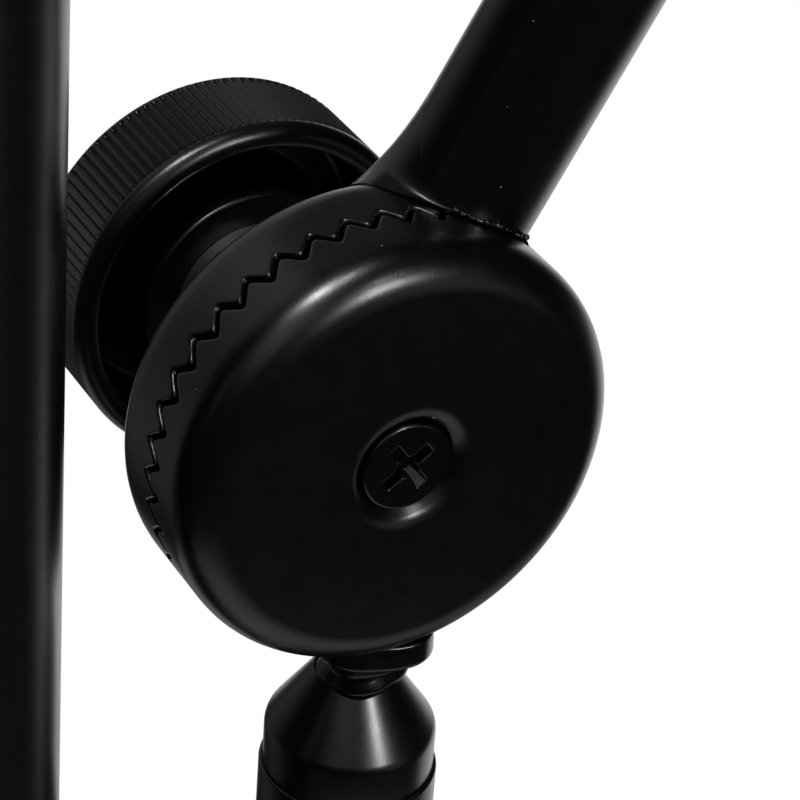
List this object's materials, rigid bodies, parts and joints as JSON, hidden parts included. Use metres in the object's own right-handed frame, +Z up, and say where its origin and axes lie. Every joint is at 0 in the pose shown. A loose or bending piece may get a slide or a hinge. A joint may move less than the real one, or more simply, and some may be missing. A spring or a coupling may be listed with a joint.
{
  "type": "music stand",
  "caption": "Three-legged music stand: a post slides beside a mast and carries a slotted desk on a toothed, knob-locked tilt joint.",
  "frame": {"origin": "on the floor, under the middle of the stand's outline seen from above", "axes": "+Z up; the musician sits on the -Y side and the mast stands behind, on +Y; +X is the side of the tilt knob and -X the side of the pivot screw"},
  "size_m": [0.5574, 0.4844, 1.0014],
  "materials": {
    "black_tube": "semi-gloss black powder coat",
    "black_pressing": "semi-gloss black powder coat with light orange peel",
    "weld": "powder coat over a ropy weld bead",
    "black_sheet": "fine satin black powder coat",
    "black_casting": "satin black powder coat",
    "black_screw": "black coated screw steel",
    "steel": "zinc plated",
    "spring_steel": "drawn spring wire",
    "brass": "turned brass",
    "sleeve_steel": "turned steel",
    "grip": "moulded black plastic, satin ribs and polished rims",
    "moulding": "moulded black plastic with fine grain",
    "nylon": "natural nylon",
    "rubber": "matt black rubber"
  },
  "bodies": {
    "stand": {"base_hub": "black_casting", "front_leg": "black_tube", "left_leg": "black_tube", "right_leg": "black_tube", "front_foot": "rubber", "left_foot": "rubber", "right_foot": "rubber", "leg_screws": "steel", "mast_insert": "sleeve_steel", "mast_bolt": "steel", "mast_washer": "steel", "mast_tube": "black_tube", "mast_cap": "moulding", "guide_block": "moulding", "guide_bush": "nylon", "guide_screw": "steel"},
    "clamp_pad": {"clamp_pad": "brass"},
    "clamp_knob": {"clamp_knob": "grip", "clamp_stud": "steel"},
    "post": {"post_tube": "black_tube", "post_plug": "black_pressing", "neck_weld": "weld", "front_cup": "black_pressing", "pivot_screw": "black_screw", "release_spring": "spring_steel", "slider_block": "moulding", "slider_bush": "nylon", "slider_screw": "steel", "post_end_cap": "moulding"},
    "sleeve": {"thrust_sleeve": "sleeve_steel", "thrust_washer": "steel"},
    "tilt_knob": {"tilt_knob": "grip", "knob_insert": "brass"},
    "arm": {"rear_cup": "black_pressing", "arm_tube": "black_tube", "arm_weld": "weld", "arm_flange": "black_pressing", "desk_screws": "black_screw", "desk_nuts": "steel", "desk_plate": "black_sheet", "desk_shelf": "black_sheet", "shelf_rivets": "black_screw", "clip_rivets": "black_screw"},
    "left_page_arm": {"left_page_arm": "black_sheet"},
    "right_page_arm": {"right_page_arm": "black_sheet"}
  },
  "joints": [
    {"name": "post_height", "type": "slide", "parent": "stand", "child": "post", "axis": [0, 0, 1], "range_m": [0, 0.25]},
    {"name": "clamp_advance", "type": "slide", "parent": "stand", "child": "clamp_pad", "axis": [0, -1, 0], "range_m": [0, 0.0026]},
    {"name": "clamp_turn", "type": "hinge", "parent": "clamp_pad", "child": "clamp_knob", "pos_m": [0, 0.00965, 0.676], "axis": [0, -1, 0], "range_deg": [0, 720]},
    {"name": "cup_release", "type": "slide", "parent": "post", "child": "sleeve", "axis": [1, 0, 0], "range_m": [0, 0.0024], "deforming": ["release_spring"]},
    {"name": "knob_turn", "type": "hinge", "parent": "sleeve", "child": "tilt_knob", "pos_m": [0.034, 0.02665, 0.76], "axis": [1, 0, 0], "range_deg": [0, 870]},
    {"name": "arm_tilt", "type": "hinge", "parent": "sleeve", "child": "arm", "pos_m": [0.0035, 0.02665, 0.76], "axis": [1, 0, 0], "range_deg": [-27, 27]},
    {"name": "left_page_swing", "type": "hinge", "parent": "arm", "child": "left_page_arm", "pos_m": [-0.19865, -0.21462, 0.87167], "axis": [0, -0.4924, 0.8704], "range_deg": [0, 90]},
    {"name": "right_page_swing", "type": "hinge", "parent": "arm", "child": "right_page_arm", "pos_m": [0.21135, -0.21462, 0.87167], "axis": [0, 0.4924, -0.8704], "range_deg": [0, 90]}
  ],
  "couplings": [
    {"joint": "knob_turn", "follows": "cup_release", "rad_per_m": 6283.2},
    {"joint": "clamp_advance", "follows": "clamp_turn", "m_per_rad": 0.00019894}
  ]
}
